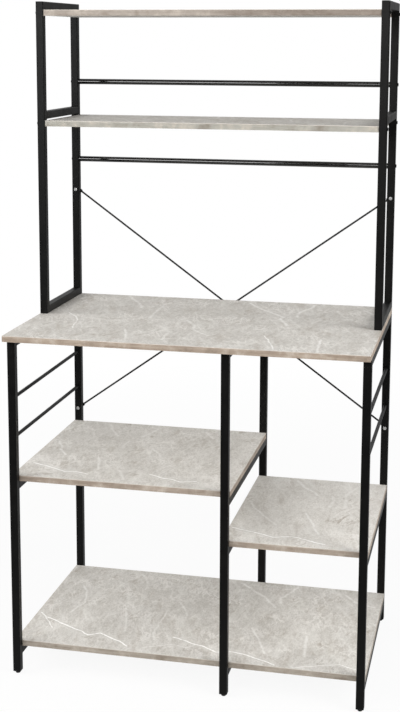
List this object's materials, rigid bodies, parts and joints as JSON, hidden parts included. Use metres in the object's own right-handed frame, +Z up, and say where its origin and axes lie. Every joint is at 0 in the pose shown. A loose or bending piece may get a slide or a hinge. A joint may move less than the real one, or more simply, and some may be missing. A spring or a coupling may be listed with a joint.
{
  "type": "kitchen rack",
  "caption": "Free-standing kitchen rack with black square-tube frames, a marble-look worktop, split lower shelves, a shelved hutch with round back bars, cross braces and levelling feet.",
  "frame": {"origin": "on the floor under the middle of the rack's box", "axes": "+X to the right seen from the front, +Y to the back, +Z up"},
  "size_m": [0.9052, 0.5908, 1.707],
  "materials": {
    "black_powder_coat": "satin powder coat",
    "marble_laminate": "matt grey marble laminate on particle board",
    "taupe_edge_band": "matt",
    "zinc_fastener": "bright zinc",
    "black_fastener": "black oxide",
    "black_plastic": "moulded"
  },
  "bodies": {
    "rack": {"board_screws": "zinc_fastener", "bottom_shelf": "marble_laminate", "bottom_shelf_edge_band": "taupe_edge_band", "brace_bolts": "zinc_fastener", "brace_nuts": "zinc_fastener", "falling_brace": "black_powder_coat", "hutch_bolts": "zinc_fastener", "hutch_left_bottom_rail": "black_powder_coat", "hutch_left_front_post": "black_powder_coat", "hutch_left_middle_rail": "black_powder_coat", "hutch_left_rear_post": "black_powder_coat", "hutch_left_top_rail": "black_powder_coat", "hutch_middle_shelf": "marble_laminate", "hutch_middle_shelf_edge_band": "taupe_edge_band", "hutch_nuts": "zinc_fastener", "hutch_right_bottom_rail": "black_powder_coat", "hutch_right_front_post": "black_powder_coat", "hutch_right_middle_rail": "black_powder_coat", "hutch_right_rear_post": "black_powder_coat", "hutch_right_top_rail": "black_powder_coat", "hutch_top_shelf": "marble_laminate", "hutch_top_shelf_edge_band": "taupe_edge_band", "left_frame_bottom_rail": "black_powder_coat", "left_frame_shelf_rail": "black_powder_coat", "left_frame_top_rail": "black_powder_coat", "left_front_leg": "black_powder_coat", "left_lower_rung": "black_powder_coat", "left_rear_leg": "black_powder_coat", "left_shelf": "marble_laminate", "left_shelf_edge_band": "taupe_edge_band", "left_upper_rung": "black_powder_coat", "leg_plugs": "black_plastic", "lower_back_bar": "black_powder_coat", "middle_frame_bottom_rail": "black_powder_coat", "middle_frame_left_shelf_rail": "black_powder_coat", "middle_frame_right_shelf_rail": "black_powder_coat", "middle_frame_top_rail": "black_powder_coat", "middle_front_leg": "black_powder_coat", "middle_rear_leg": "black_powder_coat", "post_bolts": "black_fastener", "right_frame_bottom_rail": "black_powder_coat", "right_frame_shelf_rail": "black_powder_coat", "right_frame_top_rail": "black_powder_coat", "right_front_leg": "black_powder_coat", "right_lower_rung": "black_powder_coat", "right_rear_leg": "black_powder_coat", "right_shelf": "marble_laminate", "right_shelf_edge_band": "taupe_edge_band", "right_upper_rung": "black_powder_coat", "rising_brace": "black_powder_coat", "upper_back_bar": "black_powder_coat", "worktop": "marble_laminate", "worktop_edge_band": "taupe_edge_band"},
    "left_front_foot": {"left_front_foot": "black_plastic"},
    "left_rear_foot": {"left_rear_foot": "black_plastic"},
    "middle_front_foot": {"middle_front_foot": "black_plastic"},
    "middle_rear_foot": {"middle_rear_foot": "black_plastic"},
    "right_front_foot": {"right_front_foot": "black_plastic"},
    "right_rear_foot": {"right_rear_foot": "black_plastic"}
  },
  "joints": [
    {"name": "left_front_foot_screw", "type": "slide", "parent": "rack", "child": "left_front_foot", "axis": [0, 0, 1], "range_m": [-0.012, 0]},
    {"name": "left_rear_foot_screw", "type": "slide", "parent": "rack", "child": "left_rear_foot", "axis": [0, 0, 1], "range_m": [-0.012, 0]},
    {"name": "middle_front_foot_screw", "type": "slide", "parent": "rack", "child": "middle_front_foot", "axis": [0, 0, 1], "range_m": [-0.012, 0]},
    {"name": "middle_rear_foot_screw", "type": "slide", "parent": "rack", "child": "middle_rear_foot", "axis": [0, 0, 1], "range_m": [-0.012, 0]},
    {"name": "right_front_foot_screw", "type": "slide", "parent": "rack", "child": "right_front_foot", "axis": [0, 0, 1], "range_m": [-0.012, 0]},
    {"name": "right_rear_foot_screw", "type": "slide", "parent": "rack", "child": "right_rear_foot", "axis": [0, 0, 1], "range_m": [-0.012, 0]}
  ]
}
